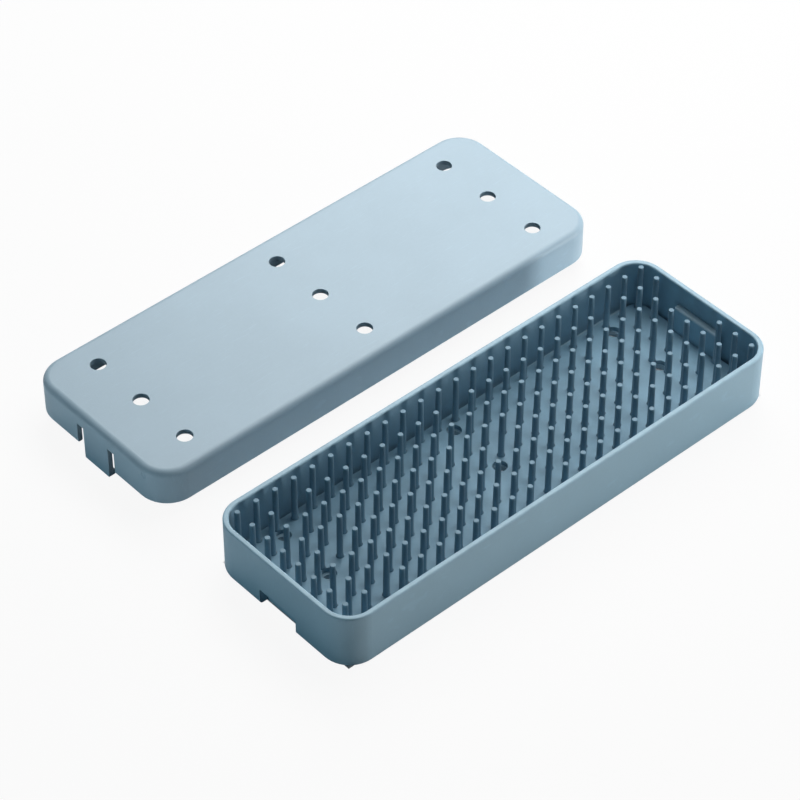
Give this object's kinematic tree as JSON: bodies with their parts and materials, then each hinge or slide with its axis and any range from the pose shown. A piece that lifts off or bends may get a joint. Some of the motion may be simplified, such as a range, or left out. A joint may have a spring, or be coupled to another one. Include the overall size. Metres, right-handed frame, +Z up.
{
  "type": "instrument tray",
  "caption": "Flat rectangular sterilising tray for small surgical instruments: open base with a mat of upstanding silicone fingers and a perforated clip-fit lid beside it.",
  "frame": {"origin": "centre of the flat underside of the base", "axes": "+X along the tray, +Y across it towards the lid, +Z up"},
  "size_m": [0.1636, 0.1338, 0.0184],
  "materials": {
    "base_plastic": "satin",
    "mat_silicone": "matte",
    "finger_silicone": "matte",
    "lid_plastic": "satin",
    "latch_plastic": "satin"
  },
  "bodies": {
    "base": {"tray_base": "base_plastic"},
    "mat": {"mat_sheet": "mat_silicone", "mat_fingers": "finger_silicone"},
    "lid": {"lid": "lid_plastic"},
    "latch_left": {"lid_latch_left": "latch_plastic"},
    "latch_right": {"lid_latch_right": "latch_plastic"}
  },
  "joints": [
    {"name": "mat_lift", "type": "slide", "parent": "base", "child": "mat", "axis": [0, 0, 1], "range_m": [0, 0.02]},
    {"name": "lid_lift", "type": "slide", "parent": "base", "child": "lid", "axis": [-0.0128, -0.7015, 0.7125], "range_m": [0, 0.1095]},
    {"name": "latch_left_flex", "type": "hinge", "parent": "lid", "child": "latch_left", "pos_m": [-0.0804, 0.0768, 0.011], "axis": [0, 1, 0], "range_deg": [0, 8], "stiffness_Nm_per_rad": 0.2},
    {"name": "latch_right_flex", "type": "hinge", "parent": "lid", "child": "latch_right", "pos_m": [0.0832, 0.0768, 0.011], "axis": [0, -1, 0], "range_deg": [0, 8], "stiffness_Nm_per_rad": 0.2}
  ]
}
